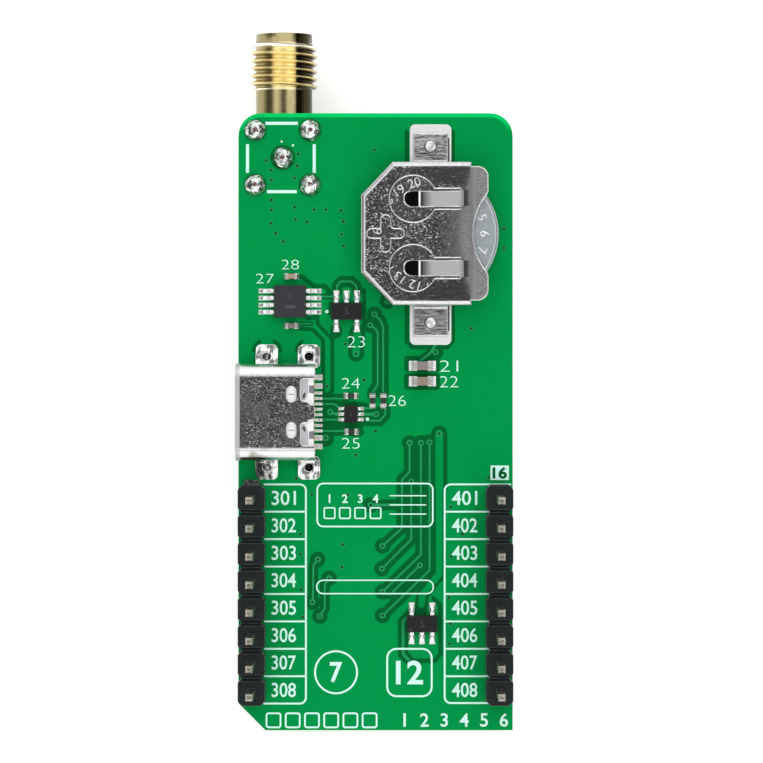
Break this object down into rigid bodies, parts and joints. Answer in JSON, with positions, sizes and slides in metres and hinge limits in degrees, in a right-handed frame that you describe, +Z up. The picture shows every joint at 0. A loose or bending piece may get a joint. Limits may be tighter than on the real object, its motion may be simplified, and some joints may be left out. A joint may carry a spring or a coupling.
{
  "type": "satellite positioning add-on board",
  "caption": "Green circuit board with pin headers, a threaded antenna jack, a clipped coin cell and a USB-C socket, lying pins up.",
  "frame": {"origin": "middle of the bounding box's bottom, on the surface that the board lies on", "axes": "+X across the board, +Y along it towards the antenna jack, +Z up, the way the pins point. The board is tipped about X, because it lies on the edge of the jack's block and on the tails of its header pins."},
  "size_m": [0.0256, 0.0654, 0.0136],
  "materials": {
    "board": "green solder mask",
    "housing": "moulded black plastic",
    "header_pin": "bright tinned brass",
    "solder": "bright tin solder",
    "jack_gold": "gold plate, polished",
    "insulator": "white moulded plastic",
    "cell_metal": "satin metal",
    "clip_steel": "tinned spring steel",
    "usb_steel": "nickel-plated steel",
    "contact_gold": "gold plate",
    "chip_black": "moulded black plastic",
    "lead_tin": "bright tin plate",
    "resistor_body": "black glass coat on ceramic",
    "capacitor_body": "fired ceramic",
    "module_board": "dark green solder mask",
    "can_steel": "nickel silver, satin",
    "lamp_lens": "clear resin"
  },
  "bodies": {
    "root": {"circuit_board": "board", "left_header_housing": "housing", "right_header_housing": "housing", "left_header_pins": "header_pin", "right_header_pins": "header_pin", "header_solder": "solder", "antenna_jack_block": "jack_gold", "antenna_jack_barrel": "jack_gold", "antenna_jack_contact": "jack_gold", "antenna_jack_insulator": "insulator", "antenna_jack_pin_insulator": "insulator", "antenna_jack_cap": "jack_gold", "antenna_jack_solder": "solder", "cell_contact_pad": "solder", "coin_cell": "cell_metal", "cell_clip": "clip_steel", "clip_solder": "solder", "usb_shell": "usb_steel", "usb_insulator": "insulator", "usb_contacts": "contact_gold", "usb_shell_solder": "solder", "power_chip_body": "chip_black", "power_chip_leads": "lead_tin", "regulator_body": "chip_black", "regulator_leads": "lead_tin", "lower_regulator_body": "chip_black", "lower_regulator_leads": "lead_tin", "surge_guard_body": "chip_black", "surge_guard_leads": "lead_tin", "resistor_bodies": "resistor_body", "resistor_ends": "lead_tin", "small_capacitor_bodies": "capacitor_body", "small_capacitor_ends": "lead_tin", "large_capacitor_bodies": "capacitor_body", "large_capacitor_ends": "lead_tin", "pin_side_pads": "solder", "receiver_board": "module_board", "receiver_can": "can_steel", "receiver_solder": "solder", "far_resistor_bodies": "resistor_body", "far_resistor_ends": "lead_tin", "far_capacitor_bodies": "capacitor_body", "far_capacitor_ends": "lead_tin", "lamp_bases": "insulator", "lamp_ends": "lead_tin", "lamp_lenses": "lamp_lens", "far_side_pads": "solder"}
  },
  "joints": []
}
